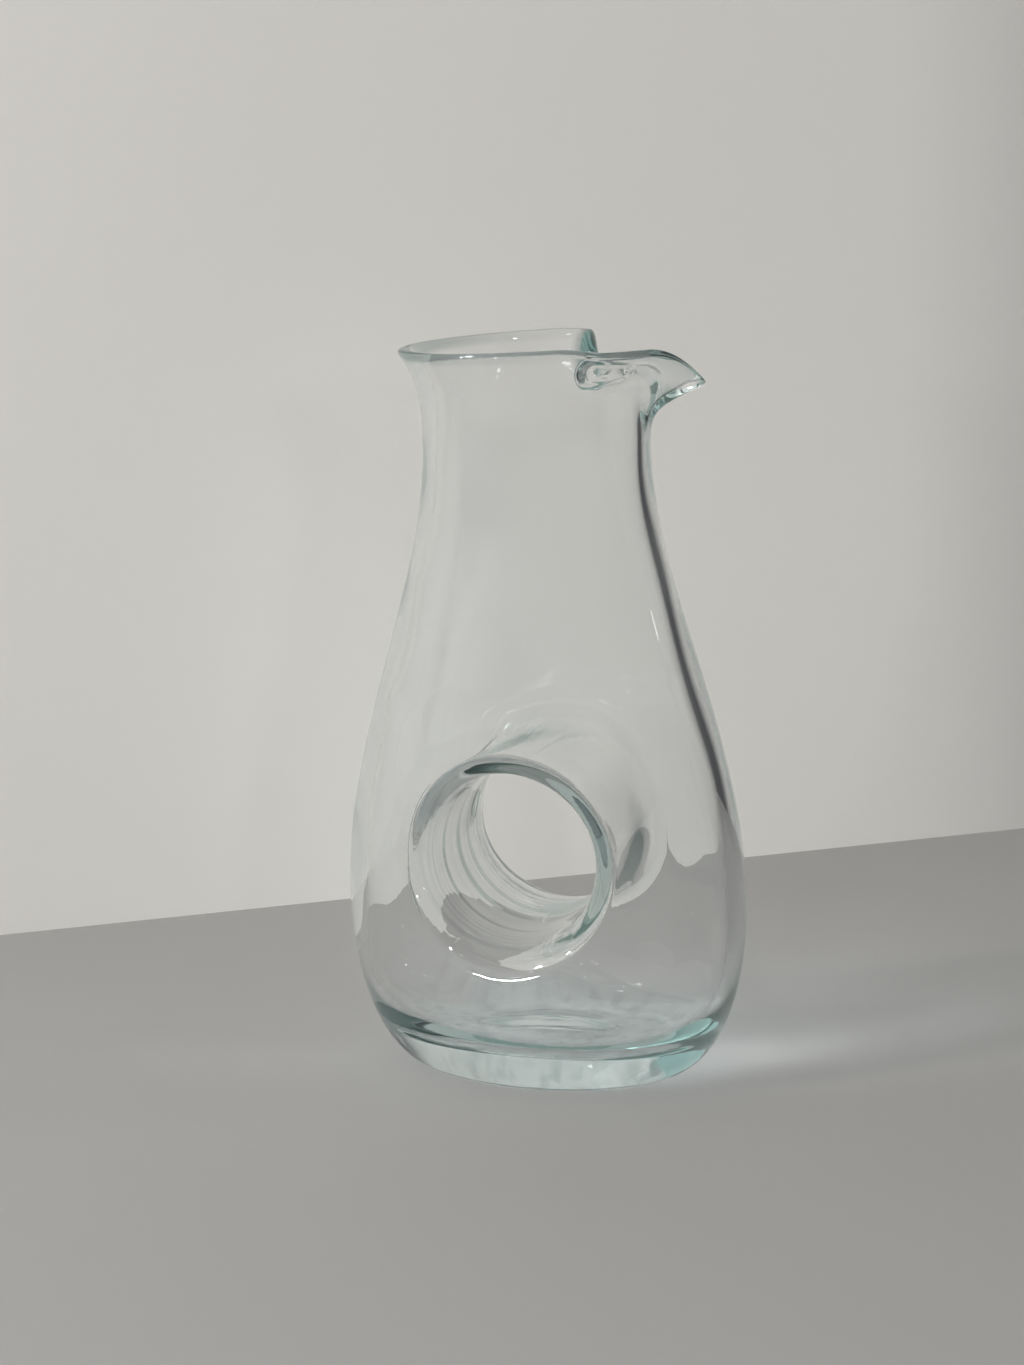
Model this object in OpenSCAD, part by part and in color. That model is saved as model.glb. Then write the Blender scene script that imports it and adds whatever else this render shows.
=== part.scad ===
// Pierced glass decanter: an oval, thick-bottomed carafe with a round hole through its belly
// and a pouring lip pulled out of the rim. Millimetres, +Z up, origin under the middle of the foot.
// +X is the long way of the oval, Y is the way the hole runs.

/* [Body] */
// Height of the rim above the table
height = 252; // [235:1:280]
// Width of the belly
belly_w = 140; // [124:1:156]
// Depth of the belly, the way the hole runs, before the hole is pressed in
belly_d = 89; // [78:1:104]
// Height of the widest part of the belly
belly_z = 58; // [50:1:66]
// Width of the flat foot
foot_w = 86; // [74:1:98]
// Depth of the flat foot
foot_d = 56; // [50:1:62]
// Above 1, the shoulder stays wide for longer
shoulder_skew = 1.08; // [1:0.02:1.3]

/* [Neck] */
// Width of the narrowest part of the neck
neck_w = 77; // [68:1:86]
// Depth of the narrowest part of the neck
neck_d = 62; // [54:1:70]
// Height of the narrowest part of the neck
neck_z = 217; // [205:1:225]
// Width across the mouth
mouth_w = 95; // [84:1:104]
// Depth across the mouth
mouth_d = 71; // [64:1:82]
// How much higher the rim stands on the spout's side than at the back
rim_rise = 4; // [0:0.5:8]

/* [Glass] */
// Wall of the neck and the rim
neck_wall = 4.8; // [3.6:0.1:5.6]
// Wall of the belly
belly_wall = 6.5; // [5:0.1:8]
// Glass under the inner floor
floor_t = 13; // [11:0.5:16]
// How far the inner floor stays inside the edge of the foot
floor_inset = 8; // [5:0.5:11]
// Fullness of the bowl over the inner floor: 2 is an ellipse, more is squarer
bowl_fullness = 2.8; // [2:0.1:3]
// Width of the hollow pushed up under the foot
punt_w = 56; // [40:1:62]
// Depth of the hollow pushed up under the foot
punt_d = 34; // [28:1:38]
// Height of the hollow pushed up under the foot
punt_h = 5; // [3:0.5:7]
// Height of the mound that the hollow leaves on the inner floor
mound_h = 3; // [1.5:0.5:5]

/* [Hole] */
// Clear diameter of the hole at its throat
hole_d = 57; // [48:1:60]
// Width of the rounded flare from the throat to the face of the belly
hole_flare = 18; // [15:0.5:20]
// Wall between the hole and the inside, at the throat
hole_wall = 4.5; // [3.5:0.5:7]
// The hole's middle along the belly's width
hole_x = -2.5; // [-6:0.5:6]
// Height of the hole's middle
hole_z = 80; // [76:1:88]

/* [Spout] */
// How far the glass is worked below the rim to make the spout
spout_h = 45; // [38:1:52]
// Turn of the spout away from the belly's long way, as on the hand-made piece
spout_turn = 12.5; // [0:0.5:20]
// How far the spout's tip is pulled out past the neck
spout_reach = 16.5; // [10:0.5:20]
// Spread of the spout's beak round the rim, in degrees
spout_spread = 16; // [13:0.5:20]
// Angle from the spout's tip to the folds beside it
fold_angle = 56; // [50:1:62]
// Angle that the sharp fold at the back takes to come down from the rim
back_spread = 10; // [8:0.5:14]
// Angle that the long dip at the front takes to come down from the rim
front_spread = 24; // [16:1:28]
// Drop from the rim to the lip at the back fold
back_drop = 8; // [5:0.5:11]
// Drop from the rim to the lip at the front
front_drop = 3; // [1:0.5:5]
// How far the lip rises again between the back fold and the tip
lip_rise = 1.7; // [0.5:0.1:3]
// Droop of the tip below the lip
tip_drop = 9.5; // [5:0.5:12]
// Spread of the tip's droop round the rim, in degrees
tip_spread = 13; // [10:0.5:16]
// Share by which the back fold is pinched in towards the spout
fold_pinch = 0.4; // [0:0.05:0.5]
// How far down the wall the pinch of the back fold fades out
fold_h = 12; // [9:1:20]
// Angle from the spout's tip to the rear end of the tool's dent, under the front of the rim
dent_angle = 65; // [60:1:72]
// Length of the dent
dent_long = 20; // [14:1:24]
// Height of the dent at its rear end
dent_tall = 6; // [5:0.5:8]
// Depth of the dent at its rear end; it fades towards the tip
dent_deep = 3.6; // [0:0.2:4]
// How far the middle of the dent lies below the middle of the rolled edge
dent_below = 4.4; // [3.6:0.2:6]

/* [Hidden] */
glass = [0.78, 0.88, 0.86, 0.45];

hole_r = hole_d / 2;
flare_r = hole_r + hole_flare;
floor_w = foot_w - 2 * floor_inset;
floor_d = foot_d - 2 * floor_inset;

// Levels at which one worked zone of the glass passes into the next
bowl_h = 11;
base_seam = floor_t + bowl_h;
shoulder_margin = 24;
shoulder_seam = hole_z + flare_r + shoulder_margin;
spout_z = height - spout_h;
rim_seam = 0.35;
seam_turn = 5;
spout_from = spout_turn - fold_angle - front_spread - seam_turn;
spout_to = spout_turn + fold_angle + back_spread + seam_turn;
edge_wall = wall(spout_z);
column_h = spout_h - edge_wall / 2 - front_drop;
rim_per_degree = PI * (mouth_w + mouth_d) / 4 / 180;

// Counts of points: along the seams' columns, round the hole and round the rolled edge
fine_step = 3.2;
coarse_step = 8;
belly_rows = 10;
neck_rows = 5;
lip_rows = 7;
hole_points = 44;
flare_points = 7;
edge_points = 6;
heel_rows = 5;
floor_rows = 3;
pole = 0.02;

// Step, as a share, over which directions along a surface are taken
tangent_step = 0.02;

// Shape functions: an S from 0 to 1, a quarter round from 0 to 1, and a bell
function clip(u) = min(1, max(0, u));
function ease(u) = let (c = clip(u)) c * c * (3 - 2 * c);
function quarter(u, power = 2) = pow(1 - pow(1 - clip(u), power), 1 / power);
function bell(angle, spread) = exp(-pow(angle / spread, 2));
function unit(v) = v / norm(v);

// Outer half width or half depth at a height, from the same four stations
function across(z, foot, belly, waist, mouth) =
    z < belly_z ? foot + (belly - foot) * quarter(z / belly_z)
    : z < neck_z ? belly + (waist - belly) * ease(pow((z - belly_z) / (neck_z - belly_z), shoulder_skew))
    : waist + (mouth - waist) * pow((z - neck_z) / (height - neck_z), 3);
function half_w(z) = across(z, foot_w / 2, belly_w / 2, neck_w / 2, mouth_w / 2);
function half_d(z) = across(z, foot_d / 2, belly_d / 2, neck_d / 2, mouth_d / 2);
function wall(z) = belly_wall + (neck_wall - belly_wall) * ease((z - belly_z) / (neck_z - belly_z));

// Inner half width or half depth: a rounded bowl up to the belly, then the wall's thickness inside
function bowl(z, flat, belly) =
    flat + (belly - flat) * quarter((z - floor_t) / (belly_z - floor_t), bowl_fullness);
function in_w(z) = z < belly_z ? bowl(z, floor_w / 2, belly_w / 2 - belly_wall) : half_w(z) - wall(z);
function in_d(z) = z < belly_z ? bowl(z, floor_d / 2, belly_d / 2 - belly_wall) : half_d(z) - wall(z);
function oval(w, d, t, z) = [w * cos(t), d * sin(t), z];
function outside(t, z) = oval(half_w(z), half_d(z), t, z);
function inside(t, z) = oval(in_w(z), in_d(z), t, z);

// Columns round the decanter: close together at the spout, wider apart elsewhere
spout_arc = spout_to - spout_from;
spout_steps = ceil(spout_arc / fine_step);
rim_steps = ceil((360 - spout_arc) / coarse_step);
spout_angles = [for (i = [0:spout_steps]) spout_from + spout_arc * i / spout_steps];
rim_angles = [for (i = [0:rim_steps]) spout_to + (360 - spout_arc) * i / rim_steps];
all_angles = concat(spout_angles, [for (i = [1:rim_steps - 1]) rim_angles[i]]);

// Angle from the tip, below zero at the front; share of the back side; and share between the folds
function from_tip(t) = let (d = t - spout_turn) d - 360 * round(d / 360);
function backward(t) = ease((from_tip(t) + fold_angle / 2) / fold_angle);
function folded(t, wider = 0) = let (away = from_tip(t), spread = away < 0 ? front_spread : back_spread)
    1 - ease((abs(away) - fold_angle - wider / 2) / (spread + wider));

// Level of the edge's middle: a slightly tilted rim, the lip between the folds, and the drooping tip
function tilt(t) = rim_rise * (1 - cos(t - spout_turn)) / 2;
function lip_top(t) = let (
        away = abs(from_tip(t)),
        hump = 1 - ease((away - spout_spread) / (fold_angle - spout_spread)),
        drop = front_drop + (back_drop - front_drop - lip_rise * hump) * backward(t),
        gate = folded(t)
    )
    height - edge_wall / 2 - tilt(t) * (1 - gate) - drop * gate - tip_drop * bell(away, tip_spread);

// Dent of the tool at a distance below the edge: a long pit with a round rear end, narrower and shallower
// towards the tip
dent_narrow = 0.6;
dent_fade = 0.14;
dent_flat = 0.45;
function dent(t, below) = let (
        along = (dent_angle + from_tip(t)) * rim_per_degree,
        forward = clip(along / dent_long),
        half = dent_tall / 2 * (1 + (dent_narrow - 1) * forward),
        deep = dent_deep * (1 + (dent_fade - 1) * ease(forward / (1 - dent_tall / 2 / dent_long))),
        off = along - min(max(along, dent_tall / 2), dent_long - dent_narrow * dent_tall / 2),
        radius = norm([off, below - dent_below]) / half
    ) deep * (1 - ease((radius - dent_flat) / (1 - dent_flat)));

// Worked top of the neck: a column runs from share 0 at spout_z to share 1 at the edge's middle. The oval
// is pulled out along the spout's way for the beak and drawn in towards it by the pinch and the dent.
spout_way = unit([mouth_w * cos(spout_turn), mouth_d * sin(spout_turn)]);
spout_side = [-spout_way.y, spout_way.x];
beak_full = 0.9;
beak_power = 3.4;
function lift(share) = ease(beak_full * pow(max(0, share), beak_power)) / ease(beak_full);
function column(t, level, z, beak, pinch, pressed) = let (
        reach = spout_reach * bell(from_tip(t), spout_spread) * beak,
        along = level.x * spout_way.x + level.y * spout_way.y + reach,
        aside = (level.x * spout_side.x + level.y * spout_side.y) * (1 - pinch) + pressed,
        plan = along * spout_way + aside * spout_side
    ) [plan.x, plan.y, z];
function column_z(t, share) = spout_z + share * (lip_top(t) - spout_z);
function pinched(t, below, wider) =
    fold_pinch * folded(t, wider) * backward(t) * (1 - ease(below / fold_h));
function worked(t, share) = let (z = column_z(t, share), below = (1 - share) * column_h)
    column(t, outside(t, z + share * tilt(t)), z, lift(share), pinched(t, below, 0), dent(t, below));

// Inside of the worked neck: the same a wall further in, with softer folds that start lower
function worked_in(t, share) = let (
        z = column_z(t, share),
        below = (1 - share) * column_h,
        pinch = pinched(t, max(0, below - edge_wall / 2), edge_wall),
        beak = lift(share - edge_wall / 2 / column_h)
    ) column(t, inside(t, z + share * tilt(t)), z, beak, pinch, dent(t, below));

// Rolled edge of rim and lip: half an ellipse from the outer face over to the inner one
function rolled(t) = let (
        outer = worked(t, 1),
        inner = worked_in(t, 1),
        up = unit(outer - worked(t, 1 - tangent_step)) * edge_wall / 2
    )
    [for (i = [1:edge_points - 1]) let (a = 180 * i / edge_points)
        (outer + inner) / 2 + (outer - inner) / 2 * cos(a) + up * sin(a)];

// Skin over loops of points, closed into a ring of loops or capped at both ends
module skin(loops, ring = false) {
    count = len(loops);
    n = len(loops[0]);
    spans = ring ? count : count - 1;
    sides = [for (i = [0:spans - 1], k = [0:n - 1], half = [0, 1])
        let (a = i * n, b = ((i + 1) % count) * n, m = (k + 1) % n)
            half == 0 ? [a + k, b + k, b + m] : [a + k, b + m, a + m]];
    first_cap = [for (k = [0:ceil(n / 2) - 2]) each k + 1 < n - 2 - k
        ? [[k, k + 1, n - 2 - k], [k, n - 2 - k, n - 1 - k]] : [[k, k + 1, n - 1 - k]]];
    last_cap = [for (f = first_cap) [for (v = [f[0], f[2], f[1]]) v + (count - 1) * n]];
    polyhedron(points = [for (loop = loops, p = loop) p],
        faces = ring ? sides : concat(sides, first_cap, last_cap), convexity = 10);
}

// Heights that crowd towards the start, so that a quarter round is drawn evenly
function rounded_levels(from, to, rows, first, last) =
    [for (i = [0:rows]) from + (to - from) * (1 - cos(90 * (first + (last - first) * i / rows)))];

// Thick bottom: heel, flat foot with its hollow, and the bowl of the inner floor
module base() {
    heel_share = acos(1 - base_seam / belly_z) / 90;
    bowl_share = acos(1 - (base_seam - floor_t) / (belly_z - floor_t)) / 90;
    heel = rounded_levels(0, belly_z, heel_rows, 0, heel_share);
    bowl_levels = rounded_levels(floor_t, belly_z, heel_rows, 0, bowl_share);
    mound = [for (i = [0:floor_rows - 1]) let (s = max(pole, i / floor_rows))
        [for (t = all_angles) oval(punt_w / 2 * s, punt_d / 2 * s, t, floor_t + mound_h * (1 - ease(s)))]];
    inner = [for (z = bowl_levels) [for (t = all_angles) inside(t, z)]];
    outer = [for (i = [heel_rows:-1:0]) [for (t = all_angles) outside(t, heel[i])]];
    punt = [for (i = [floor_rows:-1:0]) let (s = max(pole, i / floor_rows))
        [for (t = all_angles) oval(punt_w / 2 * s, punt_d / 2 * s, t, punt_h * (1 - ease(s)))]];
    color(glass) skin(concat(mound, inner, outer, punt));
}

// Wall of the belly and shoulder, open where the hole's sleeve is let in
module belly() {
    levels = [for (i = [0:belly_rows]) base_seam + (shoulder_seam - base_seam) * i / belly_rows];
    outer = [for (z = levels) [for (t = all_angles) outside(t, z)]];
    inner = [for (i = [belly_rows:-1:0]) [for (t = all_angles) inside(t, levels[i])]];
    color(glass) difference() {
        skin(concat(outer, inner), ring = true);
        translate([hole_x, 0, hole_z])
            rotate([90, 0, 0])
                cylinder(r = flare_r, h = 2 * belly_d, center = true, $fn = 2 * hole_points);
    }
}

// Outside round the hole, on the back half: p is 0 at the throat and 1 at the flare's end
knee_power = 3;
face_power = 2.2;
function face(w, d, x) = d * sqrt(max(0, 1 - pow(x / w, 2)));
function pierced(a, p) = let (
        away = hole_r + hole_flare * pow(p, knee_power),
        x = hole_x + away * cos(a),
        z = hole_z + away * sin(a)
    ) [x, face(half_w(z), half_d(z), x) * (1 - pow(1 - p, face_power)), z];

// Inside round the hole: the outside moved in by the wall along its normal, and level with the belly's
// inside at the flare's end
function lined(a, p) = let (
        at = pierced(a, p),
        along = pierced(a, min(1, p + tangent_step)) - pierced(a, max(0, p - tangent_step)),
        around = pierced(a + 1, p) - pierced(a - 1, p),
        thick = hole_wall + (belly_wall - hole_wall) * ease(p),
        moved = at + thick * unit(cross(along, around)),
        level = [at.x, face(in_w(at.z), in_d(at.z), at.x), at.z],
        outwards = ease(2 * p - 1)
    ) moved * (1 - outwards) + level * outwards;

// Sleeve of the hole: flared faces outside, and the tube that the contents run round inside
module hole_sleeve() {
    inward = [for (i = [flare_points:-1:0]) i / flare_points];
    onward = [for (i = [1:flare_points]) i / flare_points];
    function front(point) = [point.x, -point.y, point.z];
    color(glass) skin([for (k = [0:hole_points - 1]) let (a = 360 * k / hole_points) concat(
        [for (p = inward) front(pierced(a, p))], [for (p = onward) pierced(a, p)],
        [for (p = inward) lined(a, p)], [for (p = onward) front(lined(a, p))])], ring = true);
}

// Neck, from the shoulder up to where the rim and the spout begin
module neck() {
    levels = [for (i = [0:neck_rows - 1]) shoulder_seam + (spout_z - shoulder_seam) * i / neck_rows];
    shares = [for (i = [0:2]) rim_seam * i / 2];
    outer = concat([for (z = levels) [for (t = all_angles) outside(t, z)]],
        [for (s = shares) [for (t = all_angles) worked(t, s)]]);
    inner = concat([for (i = [2:-1:0]) [for (t = all_angles) worked_in(t, shares[i])]],
        [for (i = [neck_rows - 1:-1:0]) [for (t = all_angles) inside(t, levels[i])]]);
    color(glass) skin(concat(outer, inner), ring = true);
}

// Section of the worked edge at one column, from the seam up the outside, over and down the inside. The
// rows crowd towards the edge.
crowding = 1.5;
function edge_share(i) = 1 - (1 - rim_seam) * pow(1 - i / lip_rows, crowding);
function edge_section(t) = concat([for (i = [0:lip_rows]) worked(t, edge_share(i))], rolled(t),
    [for (i = [lip_rows:-1:0]) worked_in(t, edge_share(i))]);

// Rim of the mouth, from fold to fold round the back
module rim() {
    color(glass) skin([for (t = rim_angles) edge_section(t)]);
}

// Pouring lip with its beak and the two folds beside it
module spout() {
    color(glass) skin([for (t = spout_angles) edge_section(t)]);
}

base();
belly();
hole_sleeve();
neck();
rim();
spout();
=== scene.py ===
# %% [markdown]
# # A pierced decanter in clear glass
# The decanter is one piece of thick, hand-blown glass: an oval belly with a round hole pressed through
# it, a narrow neck, and a pouring lip pulled out of the rim while the glass was soft. Clear glass has no
# seams, so this lesson makes the whole skin, outside and inside, as one closed surface. First it loads
# the solid parts, which fix where everything is.

import bpy
import numpy as np
from mathutils import Matrix


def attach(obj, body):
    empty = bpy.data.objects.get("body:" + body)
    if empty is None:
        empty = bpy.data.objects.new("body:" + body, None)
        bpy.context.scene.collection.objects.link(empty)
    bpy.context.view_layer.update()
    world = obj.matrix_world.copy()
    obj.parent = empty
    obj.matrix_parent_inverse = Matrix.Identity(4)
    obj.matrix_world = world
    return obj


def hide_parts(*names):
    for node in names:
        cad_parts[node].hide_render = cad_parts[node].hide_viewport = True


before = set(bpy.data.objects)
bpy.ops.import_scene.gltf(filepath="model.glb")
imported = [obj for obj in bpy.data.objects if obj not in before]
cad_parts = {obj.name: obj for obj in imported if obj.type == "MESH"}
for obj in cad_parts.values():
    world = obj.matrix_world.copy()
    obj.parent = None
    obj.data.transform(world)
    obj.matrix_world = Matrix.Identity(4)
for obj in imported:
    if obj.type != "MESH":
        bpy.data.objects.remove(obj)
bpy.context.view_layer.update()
print("solid parts:", sorted(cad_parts))

# %% [markdown]
# ## Sizes
# These are the sizes of the solid parts, in millimetres: the oval at four heights, the thickness of the
# glass, the base and the hole. +X is the long way of the oval and Y is the way the hole runs.

# %% Sizes of body, glass and hole
MM = 0.001
height = 252.0
belly_w, belly_d, belly_z = 140.0, 89.0, 58.0
foot_w, foot_d = 86.0, 56.0
shoulder_skew = 1.08
neck_w, neck_d, neck_z = 77.0, 62.0, 217.0
mouth_w, mouth_d = 95.0, 71.0
neck_wall, belly_wall = 4.8, 6.5
floor_t, floor_inset, bowl_power = 13.0, 8.0, 2.8
punt_w, punt_d, punt_h, mound_h = 56.0, 34.0, 5.0, 3.0
hole_x, hole_z = -2.5, 80.0
throat_r, hole_flare, hole_wall = 28.5, 18.0, 4.5
floor_w, floor_d = foot_w - 2 * floor_inset, foot_d - 2 * floor_inset
print("belly", belly_w, "x", belly_d, "mm, hole", 2 * throat_r, "mm")

# %% [markdown]
# ## Profile of the oval
# Every level of the body is an ellipse, so the body needs only two curves: the half width and the half
# depth at each height. A heel is a quarter round, a shoulder is an S, and a mouth opens faster and
# faster. Writing them as formulas, instead of drawing them, keeps the glass perfectly smooth, and clear
# glass shows every bump.

# %% Profile functions


def ease(u):
    """S curve: three times u squared less twice u cubed, flat before 0 and after 1."""
    u = np.clip(u, 0.0, 1.0)
    return u * u * (3.0 - 2.0 * u)


def quarter(u, power=2.0):
    """Quarter round from 0 to 1: the power-th root of one less (1 - u) to that power."""
    u = np.clip(u, 0.0, 1.0)
    return (1.0 - (1.0 - u) ** power) ** (1.0 / power)


def bell(away, spread):
    """Bell curve: e to the minus square of away over spread."""
    return np.exp(-((away / spread) ** 2))


def across(z, foot, belly, waist, mouth):
    """Half size at height z: a quarter round to the belly, an S to the waist, a cube to the mouth."""
    low = foot + (belly - foot) * quarter(z / belly_z)
    climb = np.clip((z - belly_z) / (neck_z - belly_z), 0.0, 1.0)
    middle = belly + (waist - belly) * ease(climb**shoulder_skew)
    top = waist + (mouth - waist) * ((z - neck_z) / (height - neck_z)) ** 3
    return np.where(z < belly_z, low, np.where(z < neck_z, middle, top))


def outer_half(z):
    """Half width and half depth of the outside at height z."""
    wide = across(z, foot_w / 2, belly_w / 2, neck_w / 2, mouth_w / 2)
    deep = across(z, foot_d / 2, belly_d / 2, neck_d / 2, mouth_d / 2)
    return wide, deep


def wall(z):
    """Thickness of the wall at height z: an S from the belly's wall to the neck's."""
    return belly_wall + (neck_wall - belly_wall) * ease((z - belly_z) / (neck_z - belly_z))


def inner_half(z):
    """Half width and half depth of the inside: a bowl up to the belly, then the outside less the wall."""
    wide, deep = outer_half(z)
    climb = quarter((z - floor_t) / (belly_z - floor_t), bowl_power)
    bowl_wide = floor_w / 2 + (belly_w / 2 - belly_wall - floor_w / 2) * climb
    bowl_deep = floor_d / 2 + (belly_d / 2 - belly_wall - floor_d / 2) * climb
    above = z >= belly_z
    return np.where(above, wide - wall(z), bowl_wide), np.where(above, deep - wall(z), bowl_deep)


def oval(half, t, z):
    """Points of an ellipse with the given half width and half depth, at t degrees and height z."""
    turn = np.radians(t)
    parts = np.broadcast_arrays(half[0] * np.cos(turn), half[1] * np.sin(turn), z)
    return np.stack(parts, axis=-1)


print("wall at belly and neck:", float(wall(belly_z)), float(wall(neck_z)))

# %% [markdown]
# ## Spout and folds
# The glassblower presses the hot rim in on both sides of the spout and pulls the glass between out and
# down. By hand the two sides never come out alike: at the back the rim drops sharply and folds in, and
# at the front it only dips, but the tool has left a long dent under it. The top of the neck is a
# function of the angle and of a share that runs up each column, so beak, drop, pinch and dent are simply
# added to the oval. The inside is the same function, set in by the wall's thickness and softer.

# %% Sizes of the spout
spout_h, spout_turn = 45.0, 12.5
spout_reach, spout_spread = 16.5, 16.0
fold_angle, front_spread, back_spread = 56.0, 24.0, 10.0
front_drop, back_drop, lip_rise = 3.0, 8.0, 1.7
fold_pinch, fold_h = 0.4, 12.0
tip_drop, tip_spread = 9.5, 13.0
rim_rise = 4.0
spout_z = height - spout_h
edge_wall = float(wall(spout_z))
column_h = spout_h - edge_wall / 2 - front_drop
spout_way = oval((mouth_w, mouth_d), spout_turn, 0.0)[:2]
spout_way = spout_way / np.linalg.norm(spout_way)
spout_side = np.array([-spout_way[1], spout_way[0]])
print("edge", round(edge_wall, 2), "mm thick, worked column", round(column_h, 1), "mm tall")

# %% Angles and levels of rim and lip


def from_tip(t):
    """Angle away from the spout's tip: below zero towards the front."""
    return (t - spout_turn + 180.0) % 360.0 - 180.0


def backward(t):
    """0 on the front half of the spout and 1 on its back half, with an S across the tip."""
    return ease((from_tip(t) + fold_angle / 2) / fold_angle)


def folded(t, wider=0.0):
    """1 between the folds and 0 beyond them, with an S over each fold's own spread."""
    away = from_tip(t)
    spread = np.where(away < 0, front_spread, back_spread)
    return 1.0 - ease((np.abs(away) - fold_angle - wider / 2) / (spread + wider))


def tilt(t):
    """How far the rim lies below its highest level: it rises towards the spout."""
    return rim_rise * (1.0 - np.cos(np.radians(t - spout_turn))) / 2


def lip_top(t):
    """Level of the edge's middle: the rim, less the lip's drop between the folds and the tip's droop."""
    away = np.abs(from_tip(t))
    hump = 1.0 - ease((away - spout_spread) / (fold_angle - spout_spread))
    drop = front_drop + (back_drop - front_drop - lip_rise * hump) * backward(t)
    gate = folded(t)
    droop = tip_drop * bell(away, tip_spread)
    return height - edge_wall / 2 - tilt(t) * (1.0 - gate) - drop * gate - droop


rim_level, tip_level = float(lip_top(180.0)), float(lip_top(spout_turn))
print("rim at", round(rim_level, 1), "mm, tip at", round(tip_level, 1), "mm")

# %% Dent of the tool
dent_from, dent_long, dent_below = 65.0, 20.0, 4.4
dent_tall, dent_end_tall = 3.0, 1.8
dent_deep, dent_end_deep = 3.6, 0.5
dent_fade, dent_flat, dent_side = 1.4, 0.45, 0.55
mm_per_degree = 0.73


def dent(t, below, grown=0.0):
    """Mark of the tool under the front of the rim: a long pit with a round rear end, that narrows and
    fades towards the tip. Its sides are an S over the outer half of its radius, or wider where grown."""
    along = (dent_from + from_tip(t)) * mm_per_degree
    forward = np.clip(along / dent_long, 0.0, 1.0)
    tall = dent_tall + (dent_end_tall - dent_tall) * forward
    deep = dent_deep + (dent_end_deep - dent_deep) * ease(dent_fade * forward)
    off_axis = along - np.clip(along, dent_tall, dent_long - dent_end_tall)
    radius = np.hypot(off_axis, below - dent_below)
    return deep * (1.0 - ease((radius / tall - dent_flat) / (dent_side + grown)))


print("dent", dent_long, "mm long and", dent_deep, "mm deep")

# %% Worked top of the neck
lift_share, lift_power = 0.9, 3.4
dent_softer = 0.9
edge_step = 0.02


def lift(share):
    """Share of the beak's reach at a share of the column: little at first, then more and more."""
    return ease(lift_share * np.maximum(share, 0.0) ** lift_power) / ease(lift_share)


def column(t, share, half_at, beak, pinch, pressed):
    """Point on a column: share 0 is where the working starts, share 1 is the edge's middle. The oval at
    that level is pulled along the spout's way by the beak and drawn in towards it by pinch and dent."""
    z = spout_z + share * (lip_top(t) - spout_z)
    flat = oval(half_at(z + share * tilt(t)), t, 0.0)[..., :2]
    along, aside = flat @ spout_way, flat @ spout_side
    along = along + spout_reach * bell(from_tip(t), spout_spread) * beak
    aside = aside * (1.0 - pinch) + pressed
    plan = along[..., None] * spout_way + aside[..., None] * spout_side
    return np.concatenate([plan, z[..., None]], axis=-1)


def worked(t, share):
    """Outside of the worked neck: the pinch is an S over the fold's height, up to the edge."""
    below = (1.0 - share) * column_h
    pinch = fold_pinch * folded(t) * backward(t) * (1.0 - ease(below / fold_h))
    return column(t, share, outer_half, lift(share), pinch, dent(t, below))


def worked_in(t, share):
    """Inside of the worked neck: the same, a wall further in, with softer folds that start lower."""
    below = (1.0 - share) * column_h
    past = np.clip(below - edge_wall / 2, 0.0, None)
    pinch = fold_pinch * folded(t, edge_wall) * backward(t) * (1.0 - ease(past / fold_h))
    beak = lift(share - edge_wall / 2 / column_h)
    return column(t, share, inner_half, beak, pinch, dent(t, below, dent_softer))


def rolled(t, a):
    """Rolled edge: half an ellipse from the outer face over to the inner one, half a wall high."""
    one = np.ones_like(t)
    outer, inner = worked(t, one), worked_in(t, one)
    up = worked(t, one) - worked(t, one - edge_step)
    up = up / np.linalg.norm(up, axis=-1, keepdims=True)
    turn = np.radians(a)[..., None]
    return (outer + inner) / 2 + (outer - inner) / 2 * np.cos(turn) + edge_wall / 2 * up * np.sin(turn)


tip = worked(np.array([spout_turn]), np.array([1.0]))[0]
print("tip of the spout at", np.round(tip, 1), "mm")

# %% [markdown]
# ## One grid from the foot over the rim to the inner floor
# A single sheet of points covers the glass: its columns go round the decanter, and its rows run from the
# middle of the foot, up the outside, over the rolled edge and down the inside to the middle of the
# floor. Columns are closer together beside the spout, where the shape changes fast. They are mirrored
# about the long way of the oval, so that front and back match at the hole.

# %% Columns and rows
side_ends, side_steps = (0.0, 40.0, 88.0, 180.0), (1.25, 0.6, 2.3)
worked_levels, edge_levels, body_levels, heel_levels, bowl_levels = 55, 12, 33, 19, 17
punt_levels, flat_levels = 7, 4
edge_crowding = 1.7


def rounding(count):
    """Shares from 0 towards 1 that start close together: one less the cosine of even angles."""
    return 1.0 - np.cos(np.radians(np.linspace(0.0, 90.0, count)[:-1]))


half_turn = np.concatenate([np.arange(*stretch) for stretch in zip(side_ends, side_ends[1:], side_steps)])
columns = np.concatenate([-half_turn[:0:-1], half_turn, [180.0]])
share_rows = 1.0 - (1.0 - np.linspace(0.0, 1.0, worked_levels)[1:]) ** edge_crowding
edge_rows = np.linspace(0.0, 180.0, edge_levels)[1:-1]
body_rows = np.linspace(belly_z, spout_z, body_levels)
heel_rows = belly_z * rounding(heel_levels)
bowl_rows = floor_t + (belly_z - floor_t) * rounding(bowl_levels)
punt_rows = np.linspace(0.0, 1.0, punt_levels)[1:]
flat_rows = np.linspace(0.0, 1.0, flat_levels)[1:-1]
print("columns:", len(columns), "and", len(share_rows), "rows in the worked neck")

# %% Bands of the sheet


def rows_of(values, point):
    """Grid of points: one row for each value, one point for each column."""
    value, t = np.meshgrid(values, columns, indexing="ij")
    return point(t, value)


def between(low, high, share):
    """Half width and half depth a share of the way from one oval to another."""
    return low[0] + (high[0] - low[0]) * share, low[1] + (high[1] - low[1]) * share


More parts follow.
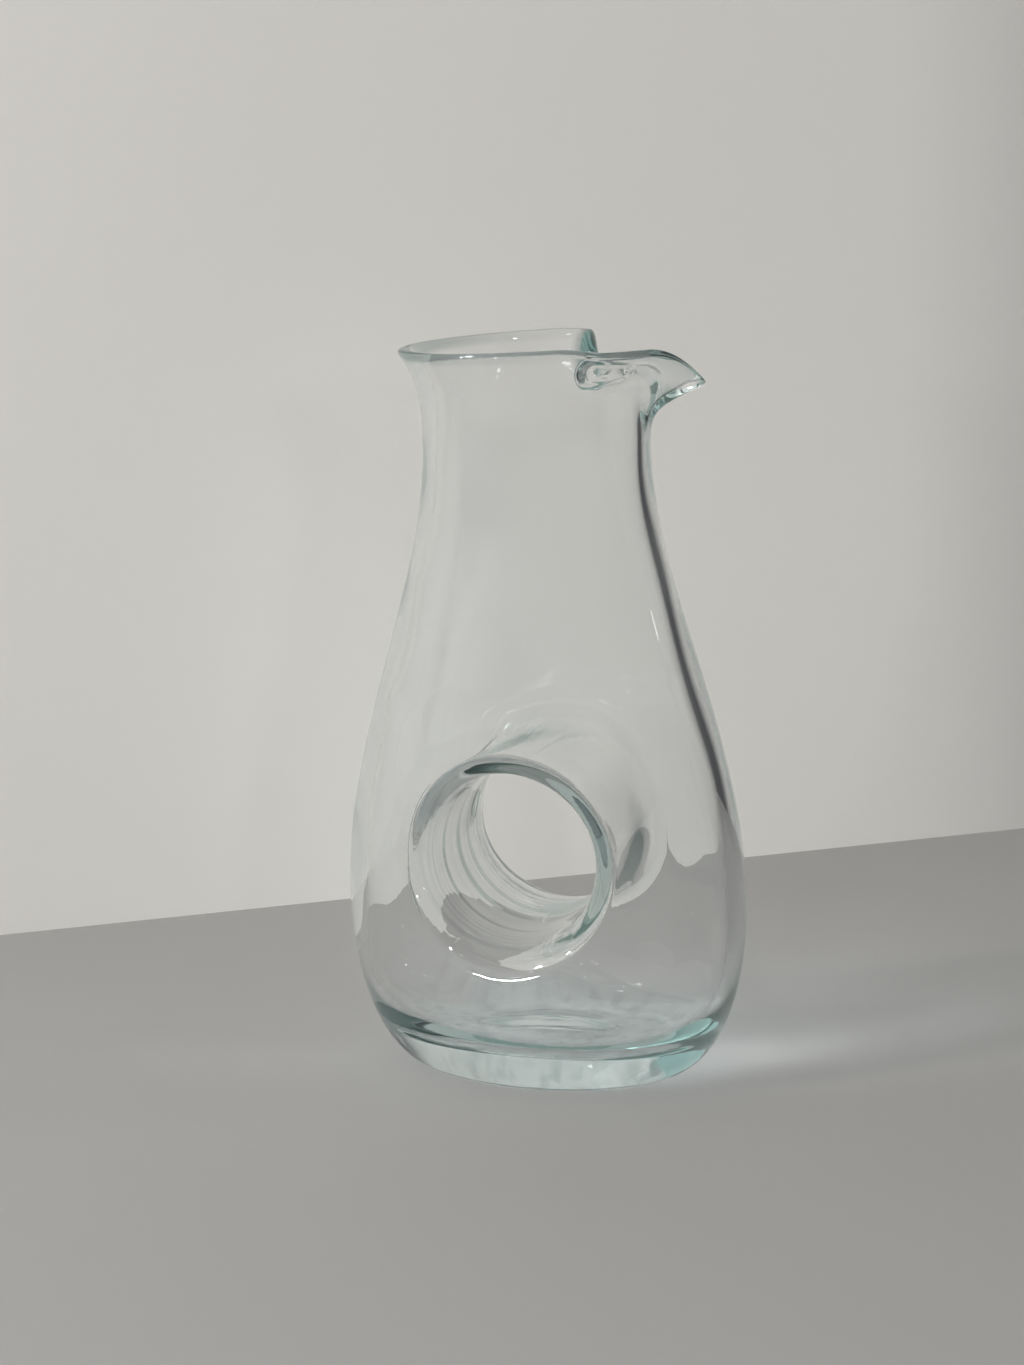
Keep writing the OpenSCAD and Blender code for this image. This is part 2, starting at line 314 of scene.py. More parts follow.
middle_half, foot_half = (0, 0), (foot_w / 2, foot_d / 2)
punt_half, floor_half = (punt_w / 2, punt_d / 2), (floor_w / 2, floor_d / 2)
bands = [
    rows_of(punt_rows, lambda t, s: oval(between(middle_half, punt_half, s), t, punt_h * (1.0 - ease(s)))),
    rows_of(flat_rows, lambda t, s: oval(between(punt_half, foot_half, s), t, 0.0)),
    rows_of(heel_rows, lambda t, z: oval(outer_half(z), t, z)),
    rows_of(body_rows, lambda t, z: oval(outer_half(z), t, z)),
    rows_of(share_rows, worked),
    rows_of(edge_rows, rolled),
    rows_of(share_rows[::-1], worked_in),
    rows_of(body_rows[::-1], lambda t, z: oval(inner_half(z), t, z)),
    rows_of(bowl_rows[::-1], lambda t, z: oval(inner_half(z), t, z)),
    rows_of(flat_rows[::-1], lambda t, s: oval(between(punt_half, floor_half, s), t, floor_t)),
    rows_of(
        punt_rows[::-1],
        lambda t, s: oval(between(middle_half, punt_half, s), t, floor_t + mound_h * (1.0 - ease(s))),
    ),
]
heel_band, body_band, worked_band, inner_body_band, bowl_band = 2, 3, 4, 7, 8
sheet = np.concatenate(bands)
band_start = np.cumsum([0] + [len(band) for band in bands])
row_count, column_count = sheet.shape[:2]
print("sheet of", row_count, "rows and", column_count, "columns")

# %% [markdown]
# ## The hole
# The hole is made by pressing the soft walls together from front and back until they fuse. Its throat is
# almost straight and its edges are well rounded, and on the inside the wall runs round it as a sleeve. A
# window is left in the sheet, front and back, outside and inside. Each window is filled by a ring-shaped
# patch, whose spokes run from the window's border to the throat, where front and back meet.

# %% Windows in the sheet
window_from, window_to = 38.0, 147.0
window_low, window_high = 24.0, 137.0
spoke_points = 24


def nearest(values, wanted):
    """Index of the value that lies closest to the wanted one."""
    return int(np.argmin(np.abs(values - wanted)))


def window_rows(first_band, last_band):
    """First and last row of a window, in the bands of the outside or of the inside."""
    start, stop = band_start[first_band], band_start[last_band + 1]
    levels = sheet[start:stop, 0, 2]
    ends = sorted(start + nearest(levels, z) for z in (window_low, window_high))
    return ends[0], ends[1]


def border(rows, side):
    """Places in the sheet round a window, from its lower left corner, anticlockwise from the front."""
    left, right = (nearest(columns, side * angle) for angle in (window_to, window_from))
    low, high = sorted(rows, key=lambda row: sheet[row, 0, 2])
    step = 1 if right > left else -1
    climb = 1 if high > low else -1
    over = np.arange(left, right, step)
    up = np.arange(low, high, climb)
    row = np.concatenate([np.full(over.size, low), up, np.full(over.size, high), up[::-1] + climb])
    column = np.concatenate([over, np.full(up.size, right), over[::-1] + step, np.full(up.size, left)])
    return row * column_count + column


outer_rows = window_rows(heel_band, body_band)
inner_rows = window_rows(inner_body_band, bowl_band)
print("windows in rows", outer_rows, "and", inner_rows)

# %% Surfaces round the hole
face_power = 2.2
normal_step = 1e-3


def pierced(p, angle):
    """Outside round the hole: p is 0 at the throat, 1 at the flare's end and below zero at the front. The
    distance from the middle grows with the cube of p, and evenly past 1. The depth is the oval's own,
    times one less (1 - p) to the face power, so the flare meets the face without a bend."""
    u = np.abs(p)
    away = throat_r + hole_flare * np.where(u < 1.0, u**3, 3.0 * u - 2.0)
    x, z = hole_x + away * np.cos(angle), hole_z + away * np.sin(angle)
    wide, deep = outer_half(z)
    rise = np.sign(p) * (1.0 - np.clip(1.0 - u, 0.0, 1.0) ** face_power)
    return np.stack([x, deep * np.sqrt(np.clip(1.0 - (x / wide) ** 2, 0.0, 1.0)) * rise, z], axis=-1)


def lined(p, angle, edge_p):
    """Inside round the hole: the outside moved in by the wall along its normal, blended into the inner
    oval between the flare's end and the window's border."""
    along = pierced(p + normal_step, angle) - pierced(p - normal_step, angle)
    around = pierced(p, angle + normal_step) - pierced(p, angle - normal_step)
    inward = np.cross(along, around)
    inward /= np.linalg.norm(inward, axis=-1, keepdims=True)
    at = pierced(p, angle)
    thick = hole_wall + (belly_wall - hole_wall) * ease(np.abs(p))
    wide, deep = inner_half(at[..., 2])
    oval_y = np.sign(p) * deep * np.sqrt(np.clip(1.0 - (at[..., 0] / wide) ** 2, 0.0, 1.0))
    level = np.stack([at[..., 0], oval_y, at[..., 2]], axis=-1)
    outwards = ease((np.abs(p) - 1.0) / (edge_p - 1.0))[..., None]
    return (at + thick[..., None] * inward) * (1.0 - outwards) + level * outwards


def patch(edge_points, side, inner):
    """Ring-shaped patch: one spoke for each point of the window's border, running in to the throat. The
    border's p follows from its distance, by the even growth past 1."""
    x, z = edge_points[:, 0] - hole_x, edge_points[:, 2] - hole_z
    angle, reach = np.arctan2(z, x), np.hypot(x, z)
    edge_p = ((reach - throat_r) / hole_flare + 2.0) / 3.0
    share = 1.0 - np.arange(1, spoke_points + 1) / spoke_points
    p = side * share[:, None] * edge_p
    angle = np.broadcast_to(angle, p.shape)
    return lined(p, angle, edge_p) if inner else pierced(p, angle)


print("wall of the sleeve:", hole_wall, "mm")

# %% Patches from the windows to the throat
points = [sheet.reshape(-1, 3)]
faces = []


def add_points(new):
    """Adds points to the list and returns their numbers, in the same grid."""
    first = sum(len(block) for block in points)
    points.append(new.reshape(-1, 3))
    return first + np.arange(new[..., 0].size).reshape(new.shape[:-1])


def ring_quads(ring):
    """Quads between the rows of a closed grid of numbers, the last column joined to the first."""
    ahead = np.roll(ring, -1, axis=1)
    quads = np.stack([ring[:-1], ahead[:-1], ahead[1:], ring[1:]], axis=-1)
    return quads.reshape(-1, 4)


def fill_windows(rows, inner):
    """Fills the front and back windows of one wall. Both patches end on the same ring of points."""
    front, back = border(rows, -1), border(rows, 1)
    front_patch = patch(points[0][front], -1, inner)
    back_patch = patch(points[0][back], 1, inner)
    throat_ring = add_points(front_patch[-1:])
    front_ring = np.vstack([front[None], add_points(front_patch[:-1]), throat_ring])
    back_ring = np.vstack([back[None], add_points(back_patch[:-1]), throat_ring])
    order = slice(None, None, -1) if inner else slice(None)
    faces.append(ring_quads(front_ring)[:, order])
    faces.append(ring_quads(back_ring)[:, ::-1][:, order])


fill_windows(outer_rows, False)
fill_windows(inner_rows, True)
print("hole patches:", sum(len(block) for block in faces), "quads")

# %% Quads of the sheet, less the windows
numbers = np.arange(row_count * column_count).reshape(row_count, column_count)
keep = np.ones((row_count - 1, column_count), bool)
for rows in (outer_rows, inner_rows):
    for side in (-1, 1):
        first, last = sorted(nearest(columns, side * angle) for angle in (window_from, window_to))
        keep[rows[0] : rows[1], first:last] = False
faces.append(ring_quads(numbers)[keep.ravel()])

foot_pole = add_points(np.array([[0.0, 0.0, punt_h]]))[0]
floor_pole = add_points(np.array([[0.0, 0.0, floor_t + mound_h]]))[0]
first_row, last_row = numbers[0], numbers[-1]
fans = np.concatenate(
    [
        np.stack([np.full(column_count, foot_pole), np.roll(first_row, -1), first_row], axis=-1),
        np.stack([np.full(column_count, floor_pole), last_row, np.roll(last_row, -1)], axis=-1),
    ]
)
glass_points = np.concatenate(points)
print("points:", len(glass_points), "quads:", sum(len(block) for block in faces), "fans:", len(fans))

# %% [markdown]
# ## Making the mesh
# The arrays go into one mesh. Points inside the windows, which no face uses, are left out first. The
# volume inside the mesh is then measured: it comes out positive only if the faces look out of the glass.

# %% Build the glass
quads = np.concatenate(faces)
used = np.zeros(len(glass_points), bool)
used[quads.ravel()] = True
used[fans.ravel()] = True
renumbered = np.cumsum(used) - 1
glass_mesh = bpy.data.meshes.new("decanter_glass")
glass_mesh.from_pydata(
    (glass_points[used] * MM).tolist(), [], renumbered[quads].tolist() + renumbered[fans].tolist()
)
glass_mesh.polygons.foreach_set("use_smooth", np.ones(len(glass_mesh.polygons), bool))
glass_mesh.update()
glass = bpy.data.objects.new("decanter_glass", glass_mesh)
bpy.context.scene.collection.objects.link(glass)


def read_points(mesh):
    """The mesh's points as an array, in millimetres."""
    flat = np.empty(3 * len(mesh.vertices))
    mesh.vertices.foreach_get("co", flat)
    return flat.reshape(-1, 3) / MM


def enclosed_litres(mesh):
    """Volume inside a closed mesh: a sixth of the sum of the triple products of its triangles."""
    mesh.calc_loop_triangles()
    corners = np.empty(3 * len(mesh.loop_triangles), int)
    mesh.loop_triangles.foreach_get("vertices", corners)
    a, b, c = np.moveaxis(read_points(mesh)[corners.reshape(-1, 3)], 1, 0)
    return float(np.sum(np.cross(a, b) * c)) / 6 * 1e-6


litres = enclosed_litres(glass_mesh)
print("glass:", round(litres, 3), "litres,", len(glass_mesh.loop_triangles), "triangles")

# %% [markdown]
# ## Painted teal shade at the edges
# Where the eye looks along the wall, as at the rolled edge, in the back fold and at the beak's tip, the
# light has run far through the glass and comes out dark teal. A few bounces of light can't build that
# up, so the mesh carries a value from 0 to 1 that says how much of this teal shade is painted on each
# point, and the material paints it into the glass's colour.

# %% How much painted teal shade each point gets
tint_depth = 1.3
edge_share, far_share, lip_share, far_power = 0.06, 0.45, 0.1, 4
tip_width, tip_from, tip_to, tip_fade, tip_share = 11.0, 3.0, 19.0, 5.0, 0.9
knot_turn, knot_width, knot_low, knot_fade = 62.0, 5.5, 9.0, 6.0
knot_strength, knot_outside = 1.5, 0.25


def painted_edge_shade(t, below, knot=1.0):
    """Painted teal shade, the larger of two marks: a bell below the edge, strongest at the end of the oval
    that faces away from the spout, and the knot of the back fold, times its share."""
    far_end = ((1.0 - np.cos(np.radians(t))) / 2) ** far_power
    along_edge = edge_share + far_share * far_end + lip_share * folded(t)
    in_knot = np.clip(knot_strength * bell(from_tip(t) - knot_turn, knot_width), 0.0, 1.0)
    at_knot = knot * in_knot * (1.0 - ease((below - knot_low) / knot_fade))
    return np.maximum(along_edge * bell(below, tint_depth), at_knot)


def inner_tint(t, share):
    """How much painted teal shade the inside gets at a share of a column."""
    return painted_edge_shade(t, (1.0 - share) * column_h)


def outer_tint(t, share):
    """How much painted teal shade the outside gets: the edge, a paler knot, and a band down under the
    beak's tip.
    """
    below = (1.0 - share) * column_h
    along_tip = ease((below - tip_from) / tip_fade) * (1.0 - ease((below - tip_to) / tip_fade))
    under_tip = tip_share * bell(from_tip(t), tip_width) * along_tip
    return np.maximum(painted_edge_shade(t, below, knot_outside), under_tip)


tint_rows = [
    rows_of(share_rows, outer_tint),
    rows_of(edge_rows, lambda t, a: painted_edge_shade(t, 0.0)),
    rows_of(share_rows[::-1], inner_tint),
]
tinted = slice(band_start[worked_band] * column_count, band_start[inner_body_band] * column_count)
tint = np.zeros(len(glass_points))
tint[tinted] = np.concatenate(tint_rows).ravel()
# The mesh carries how much painted teal shade each point gets.
teal_mark = glass_mesh.attributes.new("painted_edge_shade", "FLOAT", "POINT")
teal_mark.data.foreach_set("value", tint[used])
print("teal over half:", int((tint > 0.5).sum()), "points")

# %% [markdown]
# ## The hand's unevenness
# Blown glass is never quite even: its walls swell and thin by a few tenths of a millimetre, more on the
# inside, which no tool has touched. In clear glass that is what makes highlights waver and the
# background swim. So each point moves a little along its normal, by a sum of long, slow waves. The foot
# stays flat.

# %% Slow waves in the wall
wave_ways = np.array(
    [[0.9, 0.2, 0.4], [-0.3, 0.9, 0.3], [0.5, -0.6, 0.6], [-0.7, -0.4, 0.6], [0.1, 0.3, 1.0]]
)
wave_lengths = np.array([46.0, 38.0, 29.0, 57.0, 73.0])
wave_phases = np.array([0.4, 2.1, 3.7, 5.2, 1.3])
outer_wave, inner_wave = 0.04, 0.09
still_below, wave_rise = 1.0, 12.0


def waves(at):
    """Sum of sine waves, each along its own way with its own length and phase."""
    ways = wave_ways / np.linalg.norm(wave_ways, axis=1, keepdims=True)
    return np.sin(at @ ways.T * (2 * np.pi / wave_lengths) + wave_phases).sum(axis=1)


at = read_points(glass_mesh)
normals = np.empty(3 * len(at))
glass_mesh.vertex_normals.foreach_get("vector", normals)
normals = normals.reshape(-1, 3)
inward_facing = np.einsum("ij,ij->i", normals[:, :2], at[:, :2]) < 0
amount = np.where(inward_facing, inner_wave, outer_wave) * ease((at[:, 2] - still_below) / wave_rise)
moved = amount * waves(at)
at = at + normals * moved[:, None]
glass_mesh.vertices.foreach_set("co", (at * MM).ravel())
glass_mesh.update()
print("waves move the wall by up to", round(float(np.abs(moved).max()), 2), "mm")

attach(glass, "root")
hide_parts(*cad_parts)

# %% [markdown]
# ## Clear glass
# Plain glass bends light strongly and takes a little red out of it, so it looks colourless where it is
# thin and pale aqua where the light runs far through it: in the heel, along the rim and in the folds. The
# tint therefore belongs inside the glass, as absorption. The surface only adds what absorption can't
# give. A few small helpers come first, so that the material reads like a list of its marks.

# %% Node helpers


def feed(tree, socket, value):
    """Links an output to a socket, or sets the socket to a plain value."""
    if isinstance(value, bpy.types.NodeSocket):
        tree.links.new(value, socket)
    else:
        socket.default_value = value


def new_node(tree, kind, **values):
    """Adds a node and feeds its input sockets by name."""
    node = tree.nodes.new(kind)
    for name, value in values.items():
        feed(tree, node.inputs[name.replace("_", " ")], value)
    return node


def calc(tree, operation, *values, kind="ShaderNodeMath"):
    """Result of a sum on numbers or on vectors that gives a number."""
    node = tree.nodes.new(kind)
    node.operation = operation
    for socket, value in zip(node.inputs, values):
        feed(tree, socket, value)
    return node.outputs["Value"]


def ramp(tree, value, start, end, low=0.0, high=1.0, curve="LINEAR"):
    """Number that goes from low to high while value goes from start to end."""
    scale = new_node(tree, "ShaderNodeMapRange", Value=value, From_Min=start, From_Max=end)
    scale.interpolation_type = curve
    feed(tree, scale.inputs["To Min"], low)
    feed(tree, scale.inputs["To Max"], high)
    return scale.outputs["Result"]


def mixed_colour(tree, share, first, second):
    """Colour a share of the way from the first to the second."""
    mix = tree.nodes.new("ShaderNodeMix")
    mix.data_type = "RGBA"
    for name, value in (("Factor", share), ("A", first), ("B", second)):
        feed(tree, mix.inputs[name], value)
    return mix.outputs["Result"]


def mixed_shader(tree, share, first, second):
    """Shader a share of the way from the first to the second."""
    mix = new_node(tree, "ShaderNodeMixShader", Fac=share)
    feed(tree, mix.inputs[1], first)
    feed(tree, mix.inputs[2], second)
    return mix.outputs["Shader"]


def stretched(tree, place, scale):
    """The place with each of its axes scaled: below 1, a pattern gets longer that way."""
    return new_node(tree, "ShaderNodeMapping", Vector=place, Scale=scale).outputs["Vector"]


def height_of(tree, place):
    """Height of the place above the foot."""
    return new_node(tree, "ShaderNodeSeparateXYZ", Vector=place).outputs["Z"]


# %% [markdown]
# ## Marks of the tools, and painted shade
# The tool that opened the hole has left rings on its left and lower side, the thick heel is full of
# upright cords, and the foot is dulled where it stands and slides on tables. On that side of the hole and
# in the heel, dark teal streaks of painted shade stand for the shade that light bent through the thick
# glass leaves there. They are patterns of noise, each kept to its place by a mask, because none of them
# is deep enough to model.

# %% Ring marks and painted shade streaks in the hole
ring_scale = 210.0
rings_end, rings_full = throat_r + 3.0, throat_r + 0.5
streak_side, streak_reach = (-1.0, 0.0, -0.6), 0.03


def tool_rings_and_shade_streaks(tree, place):
    """Noise that changes only along the hole, for the tool's rings and for the painted shade streaks, and a
    mask that keeps it to the throat's left and lower side: it falls with the distance from the throat and
    grows along the streaks' side."""
    to_axis = (-hole_x * MM, 0.0, -hole_z * MM)
    off_axis = new_node(tree, "ShaderNodeMapping", Vector=place, Location=to_axis, Scale=(1.0, 0.0, 1.0))
    off_axis = off_axis.outputs["Vector"]
    distance = calc(tree, "LENGTH", off_axis, kind="ShaderNodeVectorMath")
    in_throat = ramp(tree, distance, rings_end * MM, rings_full * MM)
    leftness = calc(tree, "DOT_PRODUCT", off_axis, streak_side, kind="ShaderNodeVectorMath")
    along = stretched(tree, place, (0.0, 1.0, 0.0))
    rings = new_node(tree, "ShaderNodeTexNoise", Vector=along, Scale=ring_scale, Detail=1.0, Roughness=0.5)
    mask = calc(tree, "MULTIPLY", in_throat, ramp(tree, leftness, 0.0, streak_reach))
    return rings.outputs["Fac"], mask


# %% Bumps
heel_top = 24.0
cord_scale, cord_depth, heel_cord_depth = 110.0, 0.006, 0.25
ring_depth = 0.08
bump_height = 0.001


def bumps(tree, place, rings, mask):
    """Upright cords, faint on the body and stronger in the heel, and the ring marks in the hole."""
    upright = stretched(tree, place, (1.0, 1.0, 0.25))
    cords = new_node(tree, "ShaderNodeTexNoise", Vector=upright, Scale=cord_scale, Detail=2.0)
    feed(tree, cords.inputs["Roughness"], 0.4)
    cords = cords.outputs["Fac"]
    swell = ramp(tree, height_of(tree, place), heel_top * MM, 0.0, low=cord_depth, high=heel_cord_depth)
    bump = new_node(tree, "ShaderNodeBump", Height=cords, Strength=swell, Distance=bump_height)
    depth = calc(tree, "MULTIPLY", mask, ring_depth)
    ringed = new_node(tree, "ShaderNodeBump", Height=rings, Strength=depth, Distance=bump_height)
    feed(tree, ringed.inputs["Normal"], bump.outputs["Normal"])
    return ringed.outputs["Normal"]


# %% Painted teal shade at edges and in streaks, and worn foot
# Dark teal painted into the colour as shade where light runs far through the glass: at the edges, in the
# hole's streaks and in the heel.
painted_teal_shade = (0.08, 0.22, 0.20, 1.0)
white = (1.0, 1.0, 1.0, 1.0)
# Painted teal shade streaks in the hole.
shade_streak_from, shade_streak_to, shade_streak_share = 0.5, 0.6, 0.6
# Painted teal shade streaks in the heel.
swirl_scale, swirl_from, swirl_to, swirl_share = 150.0, 0.5, 0.64, 0.32
swirl_top, swirl_full = 0.75 * heel_top, 0.3 * heel_top
wear_scale, wear_full, wear_top, wear_rough = 900.0, 0.2, 1.6, 0.22


def heel_shade_streaks(tree, place):
    """Upright streaks of painted teal shade in the heel, from noise, fading out above it."""
    upright = stretched(tree, place, (1.0, 1.0, 0.12))
    noise = new_node(tree, "ShaderNodeTexNoise", Vector=upright, Scale=swirl_scale, Detail=2.0)
    streaks = ramp(tree, noise.outputs["Fac"], swirl_from, swirl_to)
    low = ramp(tree, height_of(tree, place), swirl_top * MM, swirl_full * MM, high=swirl_share)
    return calc(tree, "MULTIPLY", streaks, low)


def edge_colour(tree, place, rings, mask):
    """Colourless, going over to painted teal shade at the marked edges, in the hole's streaks and in the
    heel.
    """
    marked = tree.nodes.new("ShaderNodeAttribute")
    marked.attribute_name = "painted_edge_shade"
    # Painted teal shade streaks in the hole and in the heel.
    streaks = calc(tree, "MULTIPLY", ramp(tree, rings, shade_streak_from, shade_streak_to, high=shade_streak_share), mask)
    marks = calc(tree, "MAXIMUM", streaks, heel_shade_streaks(tree, place))
    teal = calc(tree, "MAXIMUM", marked.outputs["Fac"], marks)
    return mixed_colour(tree, teal, white, painted_teal_shade)


def worn_foot(tree, place):
    """Roughness of the foot's ring, broken up by fine scratches, and none above it."""
    scratches = new_node(tree, "ShaderNodeTexNoise", Vector=place, Scale=wear_scale, Detail=3.0)
    wear = ramp(tree, height_of(tree, place), wear_full * MM, wear_top * MM, low=wear_rough, high=0.0)
    return calc(tree, "MULTIPLY", wear, scratches.outputs["Fac"])


# %% [markdown]
# ## Trapped light
# In a thick wall some light is mirrored to and fro and finds its way out only after many turns. A
# renderer gives up on it after a few, which leaves black spots. So light that has been mirrored three
# times goes straight on through the wall, a little tinted, and so does the light that makes the shadow.

# %% Light that is trapped in the wall
trapped_after = 2.5
trapped_tint = (0.74, 0.81, 0.80, 1.0)
shadow_tint = (0.86, 0.87, 0.87, 1.0)


def let_through(tree, surface):
    """The surface, or a tinted clear one for shadows and for light that has been mirrored three times."""
    ray = tree.nodes.new("ShaderNodeLightPath")
    shadow = ray.outputs["Is Shadow Ray"]
    trapped = calc(tree, "GREATER_THAN", ray.outputs["Glossy Depth"], trapped_after)
    tone = mixed_colour(tree, shadow, trapped_tint, shadow_tint)
    clear = new_node(tree, "ShaderNodeBsdfTransparent", Color=tone)
    freed = calc(tree, "MAXIMUM", trapped, shadow)
    return mixed_shader(tree, freed, surface.outputs["BSDF"], clear.outputs["BSDF"])


# %% Put the glass together
glass_ior = 1.52
aqua = (0.54, 0.85, 0.88, 1.0)
aqua_density = 5.5


def clear_glass():
    """Glass that bends light, is tinted by depth, and has faint cords, painted teal shade at the edges and
    a worn foot.
    """
    material = bpy.data.materials.new("clear_glass")
    material.use_nodes = True
    tree = material.node_tree
    place = tree.nodes.new("ShaderNodeTexCoord").outputs["Object"]
    rings, mask = tool_rings_and_shade_streaks(tree, place)
    surface = tree.nodes["Principled BSDF"]
    surface.inputs["Transmission Weight"].default_value = 1.0
    surface.inputs["IOR"].default_value = glass_ior
    feed(tree, surface.inputs["Base Color"], edge_colour(tree, place, rings, mask))
    feed(tree, surface.inputs["Normal"], bumps(tree, place, rings, mask))
    feed(tree, surface.inputs["Roughness"], worn_foot(tree, place))
    depth = new_node(tree, "ShaderNodeVolumeAbsorption", Color=aqua, Density=aqua_density)
    output = tree.nodes["Material Output"]
    feed(tree, output.inputs["Surface"], let_through(tree, surface))
    feed(tree, output.inputs["Volume"], depth.outputs["Volume"])
    return material


glass_mesh.materials.append(clear_glass())
print("glass bends light by", glass_ior)

# %% [markdown]
# ## Floor and backdrop
# The decanter stands on a plain pale floor in front of a plain pale backdrop. Glass shows only what lies
# round it, so the two have different tones: their border bends in the belly and shows again in the hole,
# and that tells the eye that this is thick glass. The backdrop is turned, so the border slopes. The edge
# of a thick wall looks far to the side, so the backdrop carries painted shade that grows darker on the
# right, mostly past the picture, and draws a dark line inside the glass there. It is clear from behind,
# so that the decanter can be looked at from every side.

# %% Materials of the stage
stage_turn = np.radians(34.9)
to_rear = np.array([-np.sin(stage_turn), np.cos(stage_turn), 0.0])
to_right = np.array([np.cos(stage_turn), np.sin(stage_turn), 0.0])
stage_roughness = 0.8


def plain(name, colour):
    """Matt stage material."""
    material = bpy.data.materials.new(name)
    material.use_nodes = True
    shader = material.node_tree.nodes["Principled BSDF"]
    shader.inputs["Base Color"].default_value = colour
    shader.inputs["Roughness"].default_value = stage_roughness
    return material


def darker_on_the_right(material, colour, shade, start, end):
    """Colour goes over to the shade with an S, from start to end metres right of the decanter."""
    tree = material.node_tree
    place = tree.nodes.new("ShaderNodeTexCoord").outputs["Object"]
    rightness = calc(tree, "DOT_PRODUCT", place, to_right, kind="ShaderNodeVectorMath")
    share = ramp(tree, rightness, start, end, curve="SMOOTHSTEP")
    feed(tree, tree.nodes["Principled BSDF"].inputs["Base Color"], mixed_colour(tree, share, colour, shade))


def clear_from_behind(material):
    """Turns the back of a stage piece transparent."""
    tree = material.node_tree
    behind = tree.nodes.new("ShaderNodeNewGeometry").outputs["Backfacing"]
    clear = tree.nodes.new("ShaderNodeBsdfTransparent").outputs["BSDF"]
    front = tree.nodes["Principled BSDF"].outputs["BSDF"]
    feed(tree, tree.nodes["Material Output"].inputs["Surface"], mixed_shader(tree, behind, front, clear))


# %% Stage
stage_half, backdrop_gap, backdrop_h = 6.0, 0.217, 2.0
foot_gap = 0.0003
floor_colour = (0.34, 0.335, 0.325, 1.0)
pale, shade = (0.78, 0.762, 0.73, 1.0), (0.09, 0.09, 0.095, 1.0)
shade_from, shade_to = 0.2, 0.48


def stage_plane(name, corners, material):
    """A flat stage piece from its four corners, given to the rear, to the right and up."""
    basis = np.stack([to_rear, to_right, [0.0, 0.0, 1.0]])
    mesh = bpy.data.meshes.new(name)
    mesh.from_pydata((np.array(corners, float) @ basis).tolist(), [], [(0, 1, 2, 3)])
    mesh.materials.append(material)
    piece = bpy.data.objects.new(name, mesh)
    bpy.context.scene.collection.objects.link(piece)


half, gap, low, top = stage_half, backdrop_gap, -foot_gap, backdrop_h
floor_corners = [(-half, -half, low), (-half, half, low), (half, half, low), (half, -half, low)]
backdrop_corners = [(gap, -half, low), (gap, half, low), (gap, half, top), (gap, -half, top)]
stage_plane("floor", floor_corners, plain("floor", floor_colour))
backdrop_tone = plain("backdrop", pale)
# Painted shade: the backdrop's colour goes over to a dark grey on the right.
darker_on_the_right(backdrop_tone, pale, shade, shade_from, shade_to)
clear_from_behind(backdrop_tone)
stage_plane("backdrop", backdrop_corners, backdrop_tone)
print("backdrop", backdrop_gap, "m behind the decanter")

# %% [markdown]
# ## Light
# Plain studio light: one lamp high on the left, a room that is bright on the left and dim on the right,
# and a few small lamps round the front and right. The room gives the broad, soft sheen of the glass, and
# each small lamp leaves a glint where a curve of the rim, the hole or the heel happens to mirror it.

# %% Lamps
lamp_target = (0.0, 0.0, 0.12)
small_turns = np.radians([-75.0, -48.0, -22.0, 8.0, 34.0, 108.0])
small_levels = [0.36, 0.62, 0.45, 1.5, 0.5, 0.4]
small_away = 1.2


def lamp(name, watts, size, place):
    """A round lamp at place, turned to face the target."""
    light = bpy.data.lights.new(name, "AREA")
    light.shape = "DISK"
    light.energy = watts
    light.size = size
    piece = bpy.data.objects.new(name, light)
    back = np.array(place, float) - np.array(lamp_target)
    back /= np.linalg.norm(back)
    side = np.cross([0.0, 0.0, 1.0], back)
    side /= np.linalg.norm(side)
    turn = np.column_stack([side, np.cross(back, side), back])
    piece.matrix_world = Matrix.Translation(place) @ Matrix(turn.tolist()).to_4x4()
    bpy.context.scene.collection.objects.link(piece)


lamp("lamp_left", watts=9.0, size=0.1, place=(-1.0, -0.8, 1.2))
for number, (turn, level) in enumerate(zip(small_turns, small_levels), start=1):
    place = (small_away * np.sin(turn), -small_away * np.cos(turn), level)
    lamp("small_lamp_" + str(number), watts=2.2, size=0.07, place=place)

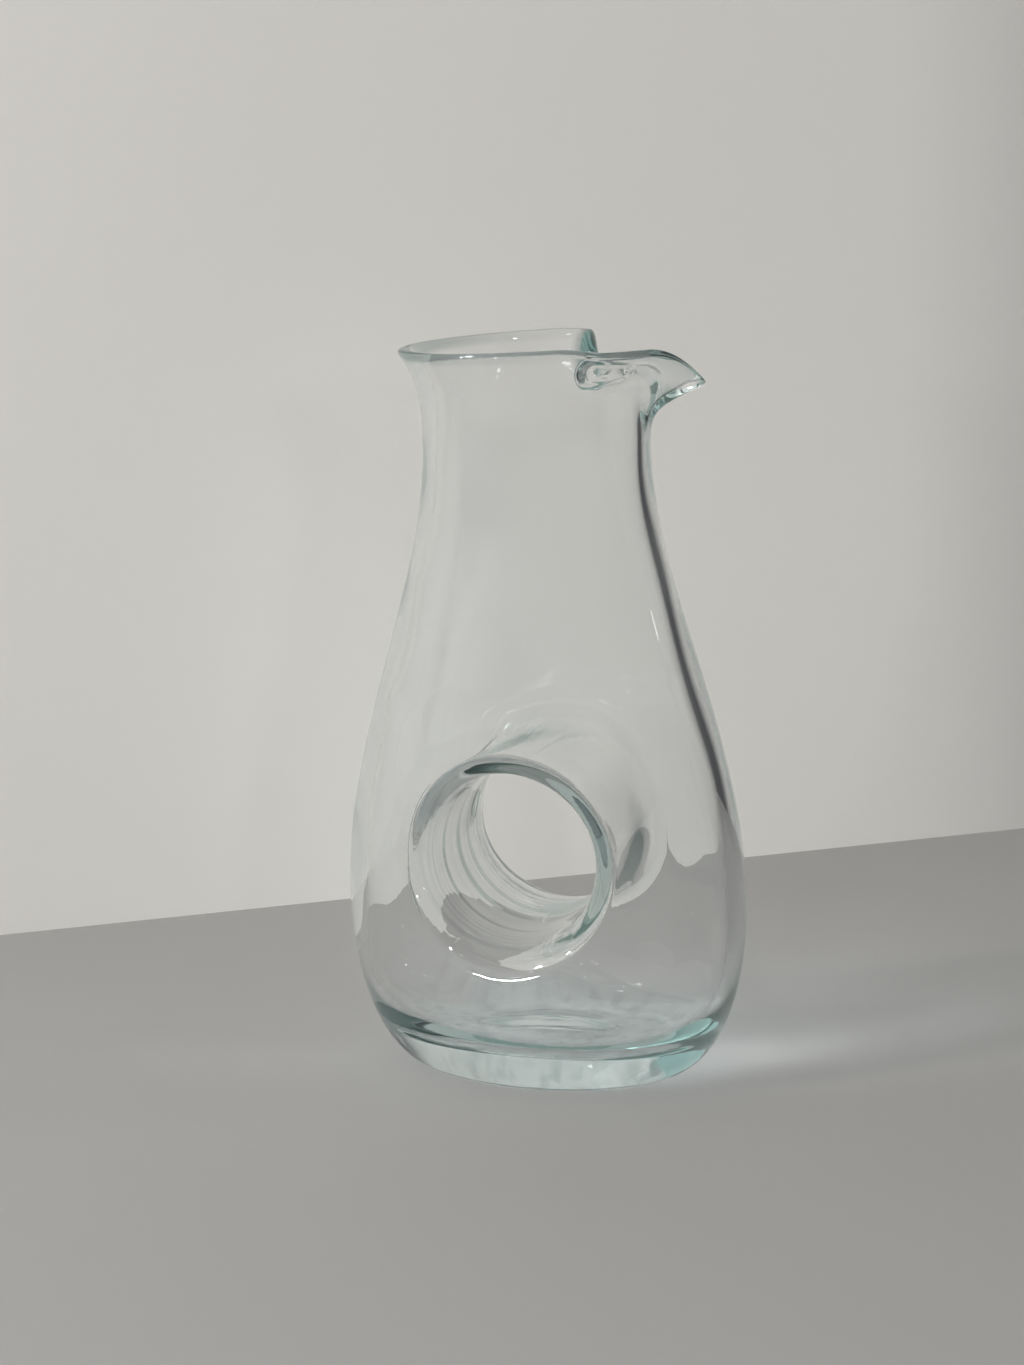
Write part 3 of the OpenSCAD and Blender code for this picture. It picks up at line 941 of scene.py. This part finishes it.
# %% Room
bright_way = np.array([-0.92, -0.05, 0.4])
bright_way = bright_way / np.linalg.norm(bright_way)
dim_level, bright_level = 0.22, 1.0
room = bpy.data.worlds.new("room")
room.use_nodes = True
tree = room.node_tree
way = tree.nodes.new("ShaderNodeTexCoord").outputs["Generated"]
facing = calc(tree, "DOT_PRODUCT", way, bright_way, kind="ShaderNodeVectorMath")
glow = ramp(tree, facing, 0.0, 1.0, low=dim_level, high=bright_level, curve="SMOOTHSTEP")
feed(tree, tree.nodes["Background"].inputs["Strength"], glow)
feed(tree, tree.nodes["Background"].inputs["Color"], (1.0, 0.99, 0.97, 1.0))
bpy.context.scene.world = room
bpy.context.scene.view_settings.view_transform = "Standard"
print("room from", dim_level, "to", bright_level)

# %% [markdown]
# ## Camera
# The photograph was taken from a little above, with the decanter turned so that its spout points right.
# The camera's place, tilt and focal length were fitted to the outline of the glass, and its small shift
# keeps the decanter where the picture has it.

# %% Camera
image_h = 1365
focal_px, view_distance = 3000.0, 1.015
view_turn, view_pitch, view_roll = np.radians([18.6, 13.1, -1.26])
aim = np.array([0.0, 0.0, 0.125])
middle_px = (30.15, 27.6)

back = np.array(
    [np.sin(view_turn) * np.cos(view_pitch), -np.cos(view_turn) * np.cos(view_pitch), np.sin(view_pitch)]
)
level_right = np.cross(-back, [0.0, 0.0, 1.0])
level_right /= np.linalg.norm(level_right)
level_up = np.cross(level_right, -back)
right = level_right * np.cos(view_roll) + level_up * np.sin(view_roll)
up = level_up * np.cos(view_roll) - level_right * np.sin(view_roll)

lens = bpy.data.cameras.new("camera")
lens.sensor_width = 36.0
lens.lens = focal_px * lens.sensor_width / image_h
lens.shift_x = -middle_px[0] / image_h
lens.shift_y = middle_px[1] / image_h
camera = bpy.data.objects.new("camera", lens)
camera.matrix_world = (
    Matrix.Translation((aim + view_distance * back).tolist())
    @ Matrix(np.column_stack([right, up, back]).tolist()).to_4x4()
)
bpy.context.scene.collection.objects.link(camera)
bpy.context.scene.camera = camera
print("camera lens", round(lens.lens, 1), "mm")
